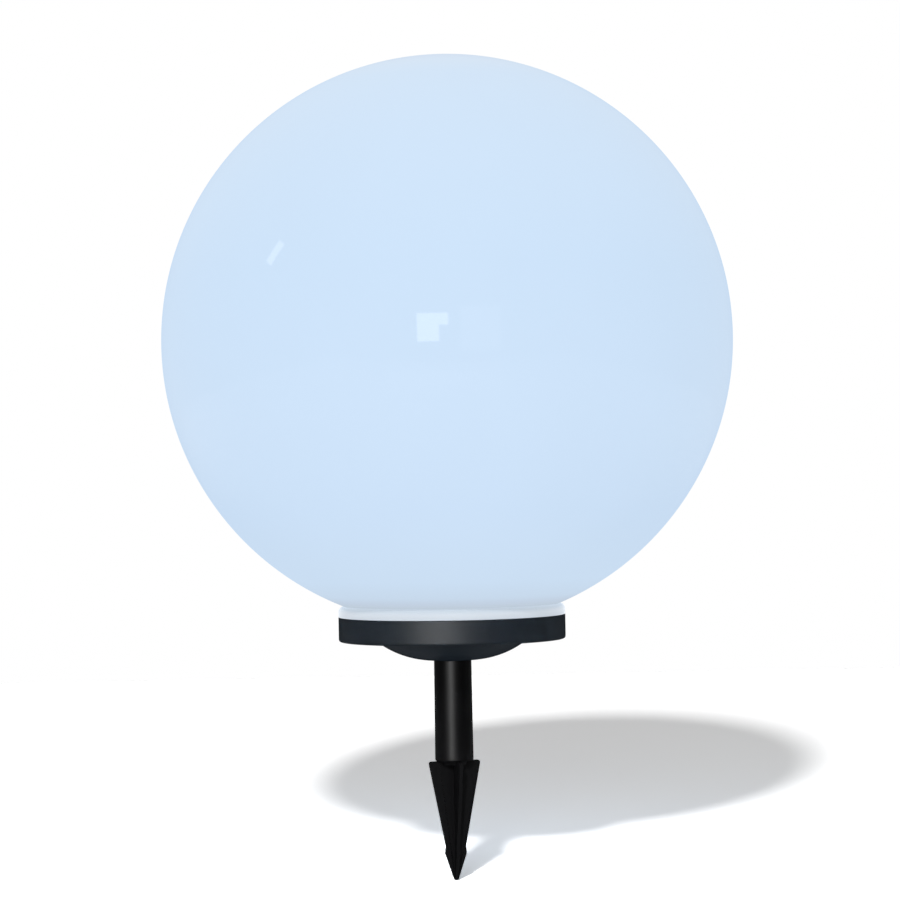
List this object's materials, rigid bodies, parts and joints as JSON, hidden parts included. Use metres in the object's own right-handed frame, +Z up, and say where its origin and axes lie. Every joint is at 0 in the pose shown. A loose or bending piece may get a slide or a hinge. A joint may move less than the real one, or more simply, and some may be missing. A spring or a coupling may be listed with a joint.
{
  "type": "path light",
  "caption": "Solar path light: opal ball that screws onto a round black base, on a short push-fit pole with a cross-shaped ground spike.",
  "frame": {"origin": "on the light's axis at soil level, where the pole's foot stands on the tops of the spike's fins", "axes": "+Z up along the pole, +Y towards the back, where the switch is, +X to the right seen from the front"},
  "size_m": [0.4999, 0.5, 0.7226],
  "materials": {
    "globe": "opal, smooth and glossy",
    "collar": "white, moulded, smooth",
    "seal": "soft matt",
    "base_plastic": "moulded, satin",
    "pole_plastic": "satin",
    "spike_plastic": "moulded, fine grain",
    "deck_plastic": "moulded, white",
    "tray_plastic": "moulded, black",
    "silicon": "dark blue cells with printed fingers",
    "cover_glass": "clear",
    "lens": "clear moulded",
    "lamp_chip": "phosphor",
    "white_board": "white solder mask",
    "green_board": "green solder mask",
    "components": "moulded",
    "terminal_plastic": "moulded, white",
    "box_plastic": "moulded, black",
    "cell_sleeve": "shrink sleeve, plain",
    "contact_metal": "nickel plated",
    "screw_steel": "zinc plated",
    "switch_plastic": "moulded",
    "button_rubber": "matt",
    "lead_red": "soft insulation",
    "lead_black": "soft insulation"
  },
  "bodies": {
    "spike": {"spike": "spike_plastic"},
    "pole": {"pole": "pole_plastic"},
    "base": {"base_housing": "base_plastic", "deck": "deck_plastic", "panel_tray": "tray_plastic", "solar_cells": "silicon", "panel_glass": "cover_glass", "lamp_strips": "white_board", "lamps": "lamp_chip", "lamp_lenses": "lens", "control_board": "green_board", "board_components": "components", "wire_terminals": "terminal_plastic", "battery_box": "box_plastic", "battery_1": "cell_sleeve", "battery_2": "cell_sleeve", "contact_springs": "contact_metal", "contact_plates": "contact_metal", "deck_screws": "screw_steel", "board_screws": "screw_steel", "switch_body": "switch_plastic", "switch_spring": "contact_metal", "red_leads": "lead_red", "black_leads": "lead_black"},
    "seal": {"globe_seal": "seal"},
    "globe": {"globe": "globe", "globe_collar": "collar"},
    "door": {"battery_door": "deck_plastic", "door_screws": "screw_steel"},
    "button": {"switch_button": "button_rubber"}
  },
  "joints": [
    {"name": "pole_lift", "type": "slide", "parent": "spike", "child": "pole", "axis": [0, 0, 1], "range_m": [0, 0.036]},
    {"name": "base_lift", "type": "slide", "parent": "pole", "child": "base", "axis": [0, 0, 1], "range_m": [0, 0.036]},
    {"name": "globe_rise", "type": "slide", "parent": "base", "child": "seal", "axis": [0, 0, 1], "range_m": [0, 0.0125]},
    {"name": "globe_turn", "type": "hinge", "parent": "seal", "child": "globe", "pos_m": [0, 0, 0.1275], "axis": [0, 0, 1], "range_deg": [0, 60]},
    {"name": "door_lift", "type": "slide", "parent": "base", "child": "door", "axis": [0, 0, 1], "range_m": [0, 0.03]},
    {"name": "button_press", "type": "slide", "parent": "base", "child": "button", "axis": [0, 0, 1], "range_m": [0, 0.0015], "stiffness_N_per_m": 300, "springref_m": -0.002, "deforming": ["switch_spring"]}
  ],
  "couplings": [
    {"joint": "globe_rise", "follows": "globe_turn", "m_per_rad": 0.011936}
  ]
}
